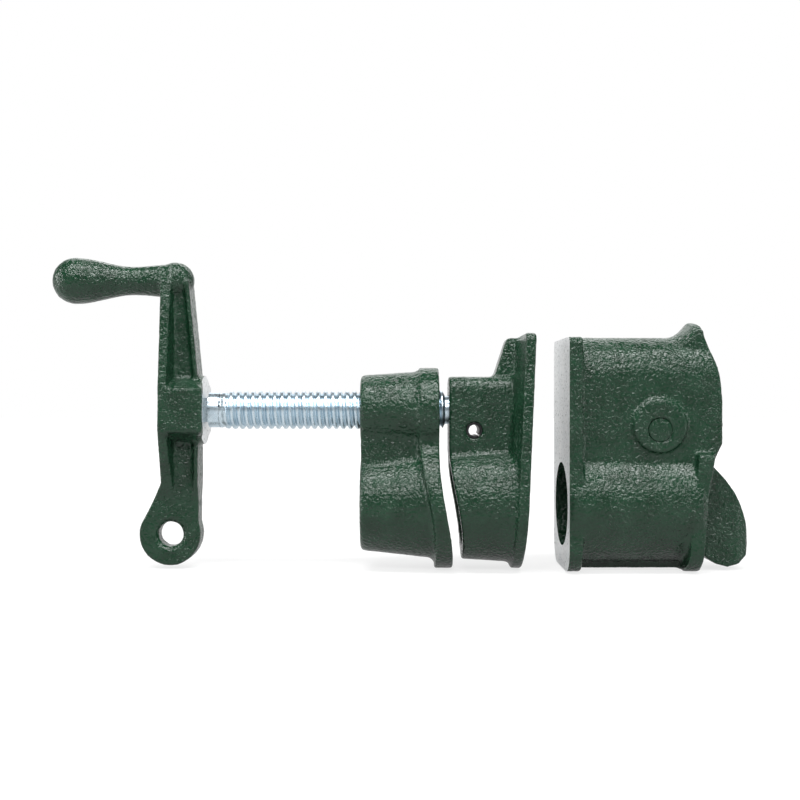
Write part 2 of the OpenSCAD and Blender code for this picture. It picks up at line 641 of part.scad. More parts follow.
// The leaf hangs through the pipe bore and behind the rear flange. Its part by the hub is placed in
// hub radii from the pivot, and its part behind the flange in shares of its reach behind the
// flange's foot and of its depth below the pipe axis.
leaf_foot = flange_foot_x;
leaf_x1 = leaf_foot + leaf_reach;
leaf_low = base_depth - leaf_rise;
function by_hub(x, z) = pivot + lever_hub_r * [x, z];
function behind(x, z) = [leaf_foot + x * leaf_reach, -z * leaf_low];
module leaf_outline() polygon([
    by_hub(-0.12, -1.43), by_hub(0.53, -2.36), by_hub(1.09, -3.35),
    behind(-0.02, 0.475), behind(0.08, 0.653), behind(0.13, 0.762), behind(0.22, 0.861),
    behind(0.38, 0.95), behind(0.59, 1), behind(0.79, 0.95), behind(0.94, 0.82), behind(1, 0.634),
    behind(0.966, 0.376), behind(0.903, 0.163), behind(0.824, -0.03), behind(0.716, -0.218),
    behind(0.557, -0.416), behind(0.438, -0.535),
    by_hub(1.86, -1.02), by_hub(1.28, -0.35), by_hub(0.7, 0.26), by_hub(0, 0.49)]);

// Half of the leaf seen from above: thin by the hub, full behind it, rounded at the end
leaf_thin_x = pivot[0] + 1.46 * lever_hub_r;
leaf_full_x = pivot[0] + 1.93 * lever_hub_r;
module leaf_plan() {
    half = [[pivot[0] - lever_hub_r, cam_t], [leaf_thin_x, cam_t], [leaf_full_x, leaf_t],
            [leaf_x1 - 0.65 * leaf_t, leaf_t], [leaf_x1 - 0.16 * leaf_t, 0.83 * leaf_t], [leaf_x1 + eps, 0.49 * leaf_t]];
    polygon(concat(half, [for (i = [len(half) - 1:-1:0]) [half[i][0], -half[i][1]]]));
}

module cam_lever() color(green) difference() {
    union() {
        rod_y(pivot, lever_hub_r, 2 * cam_t);
        along_y(2 * cam_t) cam_outline();
        intersection() {
            along_y(2 * leaf_t) leaf_outline();
            translate([0, 0, -base_depth]) linear_extrude(base_depth + pivot_z + lever_hub_r) leaf_plan();
        }
    }
    rod_y(pivot, pivot_r, 60);
}

module lever_pivot_pin() color(green) rod_y(pivot, pivot_d / 2, 2 * (hood_w + boss_h));

// ---- spring --------------------------------------------------------------------------------

// Route of the spring's wire: a leg to the front wall of the hood, turns round the pin, and a leg
// along the lever whose end hooks over the lever's upper edge
coil_r = pivot_d / 2 + coil_gap + wire_d / 2;
coil_y0 = cam_t + wire_d / 2 + coil_gap / 2;
coil_turns = 1 + 40 / 360;
coil_steps = 24;
hook = by_hub(1.326, -0.209);                      // where the wire crosses the lever's upper edge
coil_points = [for (i = [0:round(coil_steps * coil_turns)]) let (t = i / coil_steps, a = 90 - 360 * t)
    [pivot[0] + coil_r * cos(a), coil_y0 + wire_pitch * (coil_turns - t), pivot[1] + coil_r * sin(a)]];
coil_end = coil_points[len(coil_points) - 1];
leg_dir = [hook[0] - coil_end[0], 0, hook[1] - coil_end[2]] / norm([hook[0] - coil_end[0], hook[1] - coil_end[2]]);
wire_route = concat(
    [for (s = [1, 0.64, 0.29]) [pivot[0] - s * spring_leg, coil_points[0][1], pivot[1] + coil_r]],
    coil_points,
    // the leg bends inwards over the edge: wire diameters before the hook, wire diameters inwards
    [for (p = wire_d * [[1.86, 0], [0.64, 0.11], [0.14, 0.64], [0, 1.43], [-0.07, 3.57]])
        [hook[0], coil_y0 - p[1], hook[1]] - p[0] * leg_dir]);
function unit(v) = v / norm(v);
// Least gap of the wire to its own next turn, measured on the points
coil_least_gap = min([for (i = [0:len(wire_route) - 1], j = [0:len(wire_route) - 1])
    if (j - i > coil_steps / 2) norm(wire_route[i] - wire_route[j])]) - wire_d;

// Tube of n sides along a route
module tube(route, r, n = 8) {
    last = len(route) - 1;
    rings = [for (i = [0:last]) let (
        dir = unit(route[min(last, i + 1)] - route[max(0, i - 1)]),
        u = unit(cross(dir, [0, 1, 0])), v = cross(dir, u))
        [for (k = [0:n - 1]) route[i] + r * cos(360 * k / n) * u + r * sin(360 * k / n) * v]];
    polyhedron(
        points = [for (ring = rings) for (p = ring) p],
        faces = concat(
            [[for (k = [0:n - 1]) k]],
            [[for (k = [n - 1:-1:0]) last * n + k]],
            [for (i = [0:last - 1], k = [0:n - 1]) [i * n + k, (i + 1) * n + k, (i + 1) * n + (k + 1) % n]],
            [for (i = [0:last - 1], k = [0:n - 1]) [i * n + k, (i + 1) * n + (k + 1) % n, i * n + (k + 1) % n]]));
}

module lever_spring() color(steel) {
    echo(least_gap_of_the_wire_mm = coil_least_gap);
    tube(wire_route, wire_d / 2);
}

head_casting();
screw();
crank_handle();
jaw_casting();
jaw_roll_pin();
tail_casting();
cam_lever();
lever_pivot_pin();
lever_spring();
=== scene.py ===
"""Looks of the pipe clamp set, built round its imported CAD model.

Lengths are millimetres until a mesh is finished. The stage, the lamps and the camera are in metres.
Each casting is a rounded copy of its CAD node with a cast skin, cut again where it is machined.
"""
import math
from contextlib import contextmanager
from itertools import product

import bmesh
import bpy
from mathutils import Matrix, Vector, noise


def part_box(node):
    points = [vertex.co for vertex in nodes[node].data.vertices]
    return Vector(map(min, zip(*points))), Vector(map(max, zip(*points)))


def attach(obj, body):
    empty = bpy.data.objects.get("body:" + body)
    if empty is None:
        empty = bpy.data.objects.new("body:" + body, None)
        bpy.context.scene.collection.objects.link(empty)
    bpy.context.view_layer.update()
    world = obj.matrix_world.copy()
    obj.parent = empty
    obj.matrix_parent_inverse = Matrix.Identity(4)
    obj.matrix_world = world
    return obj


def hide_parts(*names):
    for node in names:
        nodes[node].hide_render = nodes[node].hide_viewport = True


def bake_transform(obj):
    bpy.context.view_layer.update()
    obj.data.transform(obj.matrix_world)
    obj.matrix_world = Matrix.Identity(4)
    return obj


MM = 0.001
X, Y = 0, 1                     # axes of the cutting tools: along the pipe and across it

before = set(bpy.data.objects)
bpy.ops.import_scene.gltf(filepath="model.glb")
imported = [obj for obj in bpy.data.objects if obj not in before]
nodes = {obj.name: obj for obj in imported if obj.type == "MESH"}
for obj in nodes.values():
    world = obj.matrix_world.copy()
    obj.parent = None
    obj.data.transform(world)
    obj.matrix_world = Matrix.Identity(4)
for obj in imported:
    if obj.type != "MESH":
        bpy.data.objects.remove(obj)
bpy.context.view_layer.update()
scene = bpy.context.scene

VOXEL = 0.35
PASSES = 5
THREAD_SIDES = 72


# ---- places and sizes -----------------------------------------------------------------------

def node_box(name):
    """Lowest and highest corner of a CAD node."""
    low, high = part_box(name)
    return Vector(low) / MM, Vector(high) / MM


def cross_pin(name):
    """Centre in X and Z, and radius, of a CAD pin that lies across the pipe."""
    low, high = node_box(name)
    return ((low.x + high.x) / 2, (low.z + high.z) / 2), (high.x - low.x) / 2


HEAD_LOW = node_box("head_casting")[0]
CRANK_LOW = node_box("crank_handle")[0]
JAW_LOW = node_box("jaw_casting")[0]
TAIL_LOW = node_box("tail_casting")[0]
SCREW_LOW, SCREW_HIGH = node_box("screw")
SCREW_R = (SCREW_HIGH.y - SCREW_LOW.y) / 2
SCREW_Z = (SCREW_HIGH.z + SCREW_LOW.z) / 2
ROLL, ROLL_R = cross_pin("jaw_roll_pin")
PIVOT, PIVOT_R = cross_pin("lever_pivot_pin")

BASE_Z = TAIL_LOW.z             # surface that the clamp stands on
PIPE_BORE_R = 13.8              # bores of the jaw and the tail
PIPE_THREAD_R = 12.1            # bore of the head, for the pipe's thread
TIP_R = 4.7                     # plain tip of the screw
THREAD_PITCH = 2.4
THREAD_ROOT_R = 5.25
THREAD_X0 = HEAD_LOW.x - 46.7   # where the thread runs out, by the crank
THREAD_X1 = JAW_LOW.x - 1.2     # end of the thread, by the jaw
SPOT_X = THREAD_X0 - 5.2        # bottom of the crank's spot face
SPOT_R = 11.05
ARM_X = SPOT_X + 0.8            # right side of the crank's arms at the hub
EYE = (CRANK_LOW.x + 39.8, SCREW_Z - 41.1)

# how much wider a bore is cut than what lies in it
SCREW_PLAY = 0.05
TIP_PLAY = 0.08
LEVER_PLAY = 0.06
PIN_PLAY = 0.02

# how far the tools that cut through a casting reach
HEAD_REACH = (-60, 40)
JAW_REACH = (-60, 60)
TAIL_REACH = (-10, 160)
SIDE_REACH = (-40, 40)


# ---- mesh tools -----------------------------------------------------------------------------

# points nearer to each other than this are welded, and shorter edges than this collapse
NODE_WELD, NODE_SLIVER = 0.002, 1e-4
MESH_WELD, MESH_SLIVER = 1e-4, 1e-5
# smoothing passes before a casting is grown for its fillets, and before it is shrunk again
GROW_PASSES, SHRINK_PASSES = 2, 3


def clamp01(t):
    return min(1.0, max(0.0, t))


def new_object(name, data):
    """An object in the scene, made of a mesh, a lamp or a camera."""
    ob = bpy.data.objects.new(name, data)
    scene.collection.objects.link(ob)
    return ob


@contextmanager
def editing(mesh):
    """Opens a mesh as a bmesh, and writes the edits back to it."""
    bm = bmesh.new()
    bm.from_mesh(mesh)
    yield bm
    bm.to_mesh(mesh)
    bm.free()


def mesh_from(name, verts, faces):
    """A welded mesh whose faces all look outwards."""
    mesh = bpy.data.meshes.new(name)
    mesh.from_pydata([tuple(v) for v in verts], [], faces)
    with editing(mesh) as bm:
        bmesh.ops.remove_doubles(bm, verts=bm.verts, dist=MESH_WELD)
        bmesh.ops.dissolve_degenerate(bm, edges=bm.edges, dist=MESH_SLIVER)
        bmesh.ops.recalc_face_normals(bm, faces=bm.faces)
    return mesh


def node_copy(name):
    """A welded copy of a CAD node, with flat faces."""
    src = nodes[name]
    mesh = src.data.copy()
    mesh.transform(Matrix.Scale(1 / MM, 4) @ src.matrix_world)
    with editing(mesh) as bm:
        bmesh.ops.remove_doubles(bm, verts=bm.verts, dist=NODE_WELD)
        bmesh.ops.dissolve_degenerate(bm, edges=bm.edges, dist=NODE_SLIVER)
        for face in bm.faces:
            face.smooth = False
    mesh.materials.clear()
    # stored normals would outlive the cuts and shade the new faces wrongly
    if "custom_normal" in mesh.attributes:
        mesh.attributes.remove(mesh.attributes["custom_normal"])
    return new_object("work_" + name, mesh)


def apply_modifiers(ob):
    """Replaces an object's mesh by what its modifiers make of it."""
    graph = bpy.context.evaluated_depsgraph_get()
    mesh = bpy.data.meshes.new_from_object(ob.evaluated_get(graph), depsgraph=graph)
    ob.modifiers.clear()
    ob.data = mesh


def add_remesh(ob, voxel, passes):
    """Even facets of a voxel's size, smoothed in a number of passes."""
    remesh = ob.modifiers.new("even", "REMESH")
    remesh.mode = "VOXEL"
    remesh.voxel_size = voxel
    smooth = ob.modifiers.new("round", "SMOOTH")
    smooth.factor = 0.5
    smooth.iterations = passes


def add_offset(ob, distance):
    push = ob.modifiers.new("push", "DISPLACE")
    push.direction = "NORMAL"
    push.mid_level = 0.0
    push.strength = distance


def cast_form(ob, voxel, passes, fillet=0.0):
    """Turns a hard-edged solid into a casting. Growing and shrinking it again by the fillet's
    radius rounds its inner corners, and the last smoothing rounds its outer edges a little."""
    if fillet:
        add_remesh(ob, voxel, GROW_PASSES)
        add_offset(ob, fillet)
        add_remesh(ob, voxel, SHRINK_PASSES)
        add_offset(ob, -fillet)
    add_remesh(ob, voxel, passes)
    apply_modifiers(ob)


def cut(ob, tool, operation="DIFFERENCE"):
    """Cuts, joins or keeps an object by a closed tool, which is then deleted."""
    boolean = ob.modifiers.new("cut", "BOOLEAN")
    boolean.operation = operation
    boolean.solver = "MANIFOLD"
    boolean.object = tool
    apply_modifiers(ob)
    bpy.data.objects.remove(tool)


def tube(name, rings):
    """Closed mesh through rings that have the same number of points."""
    sides = len(rings[0])
    last = (len(rings) - 1) * sides
    faces = [list(range(sides)), list(range(last, last + sides))]
    for ring in range(0, last, sides):
        for k in range(sides):
            n = (k + 1) % sides
            faces.append([ring + k, ring + n, ring + sides + n, ring + sides + k])
    return mesh_from(name, [point for ring in rings for point in ring], faces)


def circle(sides):
    """Cosine and sine of the corners of a regular polygon."""
    for k in range(sides):
        angle = 2 * math.pi * k / sides
        yield math.cos(angle), math.sin(angle)


def tool_cylinder(axis, centre, r, low, high, sides=96):
    """Cylinder along an axis, from low to high. centre holds the other two coordinates."""
    rings = []
    for place in (low, high):
        ring = [[centre[0] + r * c, centre[1] + r * s] for c, s in circle(sides)]
        for point in ring:
            point.insert(axis, place)
        rings.append(ring)
    return new_object("tool", tube("tool", rings))


def tool_box(low, high):
    corners = list(product(*zip(low, high)))
    faces = [[0, 1, 3, 2], [4, 6, 7, 5], [0, 4, 5, 1], [2, 3, 7, 6], [0, 2, 6, 4], [1, 5, 7, 3]]
    return new_object("tool", mesh_from("tool", corners, faces))


# the cast skin: length of a feature, and its height
RIPPLE = (4.2, 0.04)
SAND = (0.85, 0.045)
BLISTER = (1.9, 0.25)
BLISTER_SHARE = 0.42            # noise above this level makes a blister
BLISTER_SHIFT = Vector((40, 0, 0))
SEED_STEP = (17.3, 5.1, 9.7)


def skin_height(p, seed):
    """Height of the cast skin at a point: broad ripples, grains of sand and a few blisters."""
    q = Vector(p) + Vector([seed * step for step in SEED_STEP])
    ripple = noise.noise(q / RIPPLE[0]) * RIPPLE[1]
    sand = noise.noise(q / SAND[0]) * SAND[1]
    blister = max(0.0, noise.noise(q / BLISTER[0] + BLISTER_SHIFT) - BLISTER_SHARE) * BLISTER[1]
    return ripple + sand + blister


def roughen(ob, seed, amount=1.0):
    """Moves the vertices along their normals by the height of the cast skin."""
    verts = ob.data.vertices
    moved = [v.co + v.normal * (skin_height(v.co, seed) * amount) for v in verts]
    for v, co in zip(verts, moved):
        v.co = co


def drop_chips(ob):
    """Collapses the slivers that a cut leaves in a piece, and deletes the loose chips by it."""
    with editing(ob.data) as bm:
        bmesh.ops.dissolve_degenerate(bm, edges=bm.edges, dist=NODE_SLIVER)
        left = set(bm.verts)
        islands = []
        while left:
            island = [left.pop()]
            for vert in island:
                for edge in vert.link_edges:
                    other = edge.other_vert(vert)
                    if other in left:
                        left.remove(other)
                        island.append(other)
            islands.append(island)
        islands.sort(key=len)
        chips = [vert for island in islands[:-1] for vert in island]
        bmesh.ops.delete(bm, geom=chips, context="VERTS")


def finish_piece(ob, name, body, materials, replaced, machined=None, smooth_angle=38):
    """Scales a piece to metres, gives it materials by face, shades it smooth and lets it ride on
    its body. The faces that machined tells from the rest get the second material."""
    drop_chips(ob)
    mesh = ob.data
    mesh.materials.clear()
    for material in materials:
        mesh.materials.append(material)
    for face in mesh.polygons:
        face.material_index = 1 if machined and machined(face.center, face.normal) else 0
    mesh.transform(Matrix.Scale(MM, 4))
    mesh.shade_smooth()
    mesh.set_sharp_from_angle(angle=math.radians(smooth_angle))
    mesh.name = name
    ob.name = name
    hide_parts(replaced)
    if body:
        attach(ob, body)


# ---- node trees -----------------------------------------------------------------------------

def rgba(colour):
    """A colour with its alpha, from three numbers or from one level of grey."""
    return (*colour, 1) if isinstance(colour, tuple) else (colour, colour, colour, 1)


class Tree:
    """Short way to build a node tree."""

    def __init__(self, tree):
        self.nodes = tree.nodes
        self.links = tree.links

    def put(self, socket, value):
        """Sets a socket to a value, or links it to another socket."""
        if isinstance(value, bpy.types.NodeSocket):
            self.links.new(value, socket)
        else:
            socket.default_value = value

    def add(self, kind, inputs=None, **settings):
        node = self.nodes.new(kind)
        for key, value in settings.items():
            setattr(node, key, value)
        for key, value in (inputs or {}).items():
            self.put(node.inputs[key], value)
        return node

    def math(self, operation, a, b):
        """Result of a and b, kept between 0 and 1."""
        inputs = {0: a, 1: b}
        return self.add("ShaderNodeMath", inputs, operation=operation, use_clamp=True).outputs[0]

    def map_range(self, value, start, end, start_level, end_level):
        inputs = {"Value": value, "From Min": start, "From Max": end,
                  "To Min": start_level, "To Max": end_level}
        return self.add("ShaderNodeMapRange", inputs).outputs["Result"]

    def choose(self, fac, a, b):
        inputs = {"Factor": fac, "A": a, "B": b}
        return self.add("ShaderNodeMix", inputs, data_type="FLOAT").outputs["Result"]

    def camera_ray(self):
        return self.add("ShaderNodeLightPath").outputs["Is Camera Ray"]

    def seen_ray(self):
        """1 for the rays that show a thing to the camera, straight or in gloss or glass, and 0 for
        stray light."""
        path = self.add("ShaderNodeLightPath").outputs
        total = path["Is Camera Ray"]
        for kind in ("Is Glossy Ray", "Is Transmission Ray"):
            total = self.math("ADD", total, path[kind])
        return total


class Surface(Tree):
    """A material with the principled shader, its textures fixed to the object."""

    def __init__(self, name):
        self.material = bpy.data.materials.new(name)
        self.material.use_nodes = True
        super().__init__(self.material.node_tree)
        self.coords = self.add("ShaderNodeTexCoord").outputs["Object"]

    def noise(self, scale, detail=3.0, rough=0.5, vector=None):
        inputs = {"Vector": vector or self.coords, "Scale": scale, "Detail": detail,
                  "Roughness": rough}
        return self.add("ShaderNodeTexNoise", inputs).outputs["Fac"]

    def ramp(self, fac, stops):
        """Colours or levels of grey along a factor, as pairs of a position and a value."""
        node = self.add("ShaderNodeValToRGB", {"Fac": fac})
        elements = node.color_ramp.elements
        while len(elements) < len(stops):
            elements.new(0.5)
        for element, (pos, colour) in zip(elements, stops):
            element.position = pos
            element.color = rgba(colour)
        return node.outputs["Color"]

    def mix(self, fac, a, b):
        # sockets 6 and 7 and output 2 of this node are its colours
        return self.add("ShaderNodeMix", {0: fac, 6: a, 7: b}, data_type="RGBA").outputs[2]

    def bump(self, height, strength, distance, normal=None):
        inputs = {"Height": height, "Strength": strength, "Distance": distance}
        if normal:
            inputs["Normal"] = normal
        return self.add("ShaderNodeBump", inputs).outputs["Normal"]

    def finish(self, inputs):
        for key, value in inputs.items():
            self.put(self.nodes["Principled BSDF"].inputs[key], value)
        return self.material


# ---- materials ------------------------------------------------------------------------------
# Scales are per metre and the distances of the bumps are in metres.

def green_enamel():
    """Glossy enamel over a sand cast skin."""
    s = Surface("green_enamel")
    colour = s.ramp(s.noise(160.0, 4.0), [(0.30, (0.006, 0.029, 0.013)),
                                          (0.55, (0.009, 0.039, 0.019)),
                                          (0.80, (0.014, 0.052, 0.026))])
    rough = s.ramp(s.noise(900.0), [(0.30, 0.08), (0.75, 0.14)])
    patches = s.ramp(s.noise(70.0, 2.0), [(0.35, 0.5), (0.65, 1.0)])
    peel = s.ramp(s.noise(900.0, 1.5), [(0.40, 0.0), (0.62, 1.0)])
    skin = s.bump(peel, patches, 0.00022)
    skin = s.bump(s.noise(1900.0, 1.0), 0.8, 0.00014, skin)
    return s.finish({"Base Color": colour, "Roughness": rough, "Specular IOR Level": 0.45,
                     "Normal": skin})


def ground_iron():
    """Bare cast iron, ground flat, with open pores and a dull film."""
    s = Surface("ground_iron")
    stretch = s.add("ShaderNodeMapping", {"Vector": s.coords, "Scale": (1.0, 0.06, 1.0)})
    lines = s.noise(2600.0, 2.0, 0.6, stretch.outputs["Vector"])
    metal = s.ramp(s.noise(120.0), [(0.3, (0.82, 0.84, 0.85)), (0.7, (0.93, 0.94, 0.94))])
    pores = s.ramp(s.noise(900.0, 5.0, 0.7), [(0.37, 0.0), (0.42, 1.0)])
    colour = s.mix(pores, rgba((0.06, 0.08, 0.07)), metal)
    rough = s.ramp(lines, [(0.2, 0.30), (0.8, 0.45)])
    skin = s.bump(lines, 0.2, 0.00006)
    skin = s.bump(pores, 0.5, 0.00010, skin)
    return s.finish({"Base Color": colour, "Roughness": rough, "Metallic": 0.7, "Normal": skin})


def clean_metal(name, cloud, colours, film, roughness, grain):
    """Metal with cloudy colours under a film of uneven gloss, and a fine grain. cloud and grain
    are scales, and film is a scale and a detail."""
    s = Surface(name)
    colour = s.ramp(s.noise(cloud, 4.0), list(zip((0.3, 0.7), colours)))
    rough = s.ramp(s.noise(*film), list(zip((0.3, 0.7), roughness)))
    skin = s.bump(s.noise(grain, 2.0), 0.2, 0.00004)
    return s.finish({"Base Color": colour, "Roughness": rough, "Metallic": 1.0, "Normal": skin})


GREEN = green_enamel()
IRON = ground_iron()
# bright zinc plate with a blue tint
ZINC = clean_metal("zinc_plate", 260.0, ((0.54, 0.66, 0.74), (0.70, 0.81, 0.88)),
                   (1500.0, 3.0), (0.24, 0.38), 2200.0)
# dark spring steel with a film of oil
STEEL = clean_metal("oiled_steel", 700.0, ((0.020, 0.021, 0.022), (0.060, 0.060, 0.063)),
                    (1800.0, 2.0), (0.30, 0.48), 2500.0)


# ---- castings -------------------------------------------------------------------------------

def on_bore(point, z, r, tolerance=0.04):
    """Whether a point lies on the wall of a bore along the pipe, whose axis is at height z."""
    return abs(math.hypot(point.y, point.z - z) - r) < tolerance


def finish_casting(ob, node, body, machined=None):
    materials = [GREEN, IRON] if machined else [GREEN]
    finish_piece(ob, node + "_enamelled", body, materials, node, machined)


def make_head():
    screw_bore_r = SCREW_R + SCREW_PLAY
    ob = node_copy("head_casting")
    cast_form(ob, VOXEL, PASSES, fillet=1.8)
    roughen(ob, seed=1)
    cut(ob, tool_cylinder(X, (0, 0), PIPE_THREAD_R, *HEAD_REACH))
    cut(ob, tool_cylinder(X, (0, SCREW_Z), screw_bore_r, *HEAD_REACH))

    def machined(c, _):
        return on_bore(c, 0, PIPE_THREAD_R, 0.06) or on_bore(c, SCREW_Z, screw_bore_r)
    finish_casting(ob, "head_casting", "head", machined)


def make_jaw():
    socket_r = TIP_R + TIP_PLAY
    socket_reach = (-10, SCREW_HIGH.x + 0.3)
    ob = node_copy("jaw_casting")
    cast_form(ob, VOXEL, PASSES, fillet=1.2)
    roughen(ob, seed=2, amount=0.8)
    cut(ob, tool_cylinder(X, (0, 0), PIPE_BORE_R, *JAW_REACH))
    cut(ob, tool_cylinder(X, (0, SCREW_Z), socket_r, *socket_reach))
    cut(ob, tool_cylinder(Y, ROLL, ROLL_R + PIN_PLAY, *SIDE_REACH, sides=64))
    finish_casting(ob, "jaw_casting", "jaw", lambda c, _: on_bore(c, SCREW_Z, socket_r))


def fuller_eye(ob):
    """Pushes the rim of the crank's eye outwards on its lower left side."""
    rim_r, edge, fade, growth = 7, 8, 6, 0.35
    for v in ob.data.vertices:
        away = Vector((v.co.x - EYE[0], 0, v.co.z - EYE[1]))
        below = clamp01((EYE[1] + edge - v.co.z) / fade)
        beside = clamp01((EYE[0] + edge - v.co.x) / fade)
        if away.length > rim_r and below > 0:
            v.co += away.normalized() * (growth * (below * beside))


def make_crank():
    ob = node_copy("crank_handle")
    # stock on the spot face, which is cut again once the skin is rough
    stock_r, stock_in, stock_out = SPOT_R + 0.15, 3, 1
    stock = tool_cylinder(X, (0, SCREW_Z), stock_r, SPOT_X - stock_in, SPOT_X + stock_out)
    cut(ob, stock, "UNION")
    cast_form(ob, VOXEL, PASSES - 1, fillet=0.5)
    fuller_eye(ob)
    roughen(ob, seed=3, amount=1.3)
    cutter_r, past_arm = SPOT_R + 0.3, ARM_X + 5
    cut(ob, tool_cylinder(X, (0, SCREW_Z), cutter_r, SPOT_X, past_arm))
    # on its far side the spot face is open to the edge of the hub
    inner, outer, half = 4, 20, 13
    cut(ob, tool_box((SPOT_X, inner, SCREW_Z - half), (past_arm, outer, SCREW_Z + half)))

    def machined(c, n):
        return abs(c.x - SPOT_X) < 0.01 and n.x > 0.9
    finish_casting(ob, "crank_handle", "screw", machined)


def make_tail():
    stock = 2.0                 # stands in front of the face until that is ground flat
    ob = node_copy("tail_casting")
    for v in ob.data.vertices:
        if v.co.x < TAIL_LOW.x + 0.01:
            v.co.x -= stock
    cast_form(ob, VOXEL, PASSES, fillet=0.8)
    roughen(ob, seed=4, amount=1.2)
    cut(ob, tool_box((TAIL_LOW.x - 10, -60, -60), (TAIL_LOW.x, 60, 90)))
    cut(ob, tool_cylinder(X, (0, 0), PIPE_BORE_R, *TAIL_REACH))
    cut(ob, tool_cylinder(Y, PIVOT, PIVOT_R + PIN_PLAY, *SIDE_REACH, sides=64))
    finish_casting(ob, "tail_casting", "tail", lambda c, _: abs(c.x - TAIL_LOW.x) < 0.002)


def make_lever():
    ob = node_copy("cam_lever")
    cast_form(ob, VOXEL * 0.7, 4)
    roughen(ob, seed=5, amount=0.8)
    cut(ob, tool_cylinder(Y, PIVOT, PIVOT_R + LEVER_PLAY, *SIDE_REACH, sides=64))
    finish_casting(ob, "cam_lever", "lever")


# ---- screw ----------------------------------------------------------------------------------

# one pitch of the thread: share of the pitch, height above the root as a share of the depth
THREAD_PROFILE = [(0.00, 0.0), (0.10, 0.03), (0.16, 0.16), (0.36, 0.84), (0.42, 0.97),
                  (0.50, 1.0), (0.64, 1.0), (0.72, 0.97), (0.78, 0.84), (0.98, 0.16)]


def thread_mesh():
    """Solid with a rolled thread, from its run-out on."""
    crest_r = SCREW_R + 0.01
    depth = crest_r - THREAD_ROOT_R
    start, end = THREAD_X0, SCREW_HIGH.x + 4
    run_out = 1.4 * THREAD_PITCH
    run_out_step = 0.5
    sides, period = THREAD_SIDES, len(THREAD_PROFILE)
    turns = int((end - start) / THREAD_PITCH) + 3
    rows = [(start - THREAD_PITCH + (i + share) * THREAD_PITCH, height)
            for i in range(turns) for share, height in THREAD_PROFILE]

    def place(u, height, k):
        x = u + THREAD_PITCH * k / sides
        fade = clamp01((x - start) / run_out)
        r = crest_r - depth * (1 - height) * fade - run_out_step * (1 - fade)
        if x < start or x > end:
            x = min(end, max(start, x))
            r = 0.0
        a = 2 * math.pi * k / sides
        return (x, -r * math.sin(a), SCREW_Z + r * math.cos(a))

    verts = [place(u, height, k) for u, height in rows for k in range(sides)]
    faces = []
    for j in range(len(rows) - 1):
        here, there = j * sides, (j + 1) * sides
        for k in range(sides - 1):
            faces.append([here + k, here + k + 1, there + k + 1, there + k])
        # the last side joins the row that lies one pitch on
        if j + 1 + period < len(rows):
            turn = period * sides
            faces.append([here + sides - 1, here + turn, there + turn, there + sides - 1])
    return mesh_from("thread", verts, faces)


def make_screw():
    """The CAD screw with its rings filled up, and then cut to the form of a real thread."""
    ob = node_copy("screw")
    core = tool_cylinder(X, (0, SCREW_Z), SCREW_R, THREAD_X0 + 0.5, THREAD_X1 - 1.0)
    cut(ob, core, "UNION")
    # the part to keep: the thread, and boxes round all of the shank and the tip beside it
    kept = new_object("thread", thread_mesh())
    past, half = 5, 20
    shank = tool_box((SCREW_LOW.x - past, -half, SCREW_Z - half),
                     (THREAD_X0 + 0.005, half, SCREW_Z + half))
    tip = tool_box((THREAD_X1 - 0.4, -half, SCREW_Z - half),
                   (SCREW_HIGH.x + past, half, SCREW_Z + half))
    cut(kept, shank, "UNION")
    cut(kept, tip, "UNION")
    cut(ob, kept, "INTERSECT")
    finish_piece(ob, "screw_threaded", "screw", [ZINC], "screw", smooth_angle=35)


# ---- small steel pieces ---------------------------------------------------------------------

def make_pin(name, edge, material, body):
    """A CAD pin with rounded edges."""
    ob = node_copy(name)
    bevel = ob.modifiers.new("bevel", "BEVEL")
    bevel.width = edge
    bevel.segments = 3
    bevel.limit_method = "ANGLE"
    bevel.angle_limit = math.radians(40)
    apply_modifiers(ob)
    finish_piece(ob, name + "_finished", body, [material], name)


def make_spring():
    """Round wire along the route of the CAD spring: leg on the casting, turns, leg on the lever
    and the hook over its edge."""
    wire_r, sides = 0.7, 20
    coil_r = PIVOT_R + 0.5 + wire_r
    y0, pitch, turns, steps = 5.95, 2.0, 1 + 40 / 360, 36
    hook = Vector((PIVOT[0] + 11.4, 0, PIVOT[1] - 1.8))
    front_leg = (14, 11, 8, 5, 2.5)
    # distance back along the leg, and distance inwards
    bend = ((5, 0), (2.6, 0), (1.7, 0.04), (0.9, 0.2), (0.35, 0.7), (0.06, 1.4), (-0.05, 2.4),
            (-0.1, 3.7), (-0.1, 5))

    count = round(steps * turns)
    coil = []
    for i in range(count + 1):
        t = turns * i / count
        a = math.radians(90 - 360 * t)
        coil.append(Vector((PIVOT[0] + coil_r * math.cos(a), y0 + pitch * (turns - t),
                            PIVOT[1] + coil_r * math.sin(a))))
    leg = hook - coil[-1]
    leg.y = 0
    leg.normalize()
    route = [Vector((PIVOT[0] - s, coil[0].y, PIVOT[1] + coil_r)) for s in front_leg]
    route += coil
    route += [hook - leg * back + Vector((0, y0 - inwards, 0)) for back, inwards in bend]

    rings = []
    for i, p in enumerate(route):
        along = (route[min(len(route) - 1, i + 1)] - route[max(0, i - 1)]).normalized()
        u = along.cross(Vector((0, 1, 0))).normalized()
        v = along.cross(u)
        rings.append([p + u * (wire_r * c) + v * (wire_r * s) for c, s in circle(sides)])
    ob = new_object("spring", tube("spring", rings))
    finish_piece(ob, "lever_spring_wire", None, [STEEL], "lever_spring")
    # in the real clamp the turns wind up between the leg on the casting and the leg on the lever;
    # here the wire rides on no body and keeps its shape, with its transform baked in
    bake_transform(ob)


make_head()
make_jaw()
make_crank()
make_tail()
make_lever()
make_screw()
make_pin("jaw_roll_pin", 0.12, STEEL, "jaw")
make_pin("lever_pivot_pin", 0.14, GREEN, "tail")
make_spring()


# ---- stage, lamps and camera ----------------------------------------------------------------

FLOOR_HALF = 3.0
FLOOR_GAP = 0.0003              # below the surface that the clamp stands on
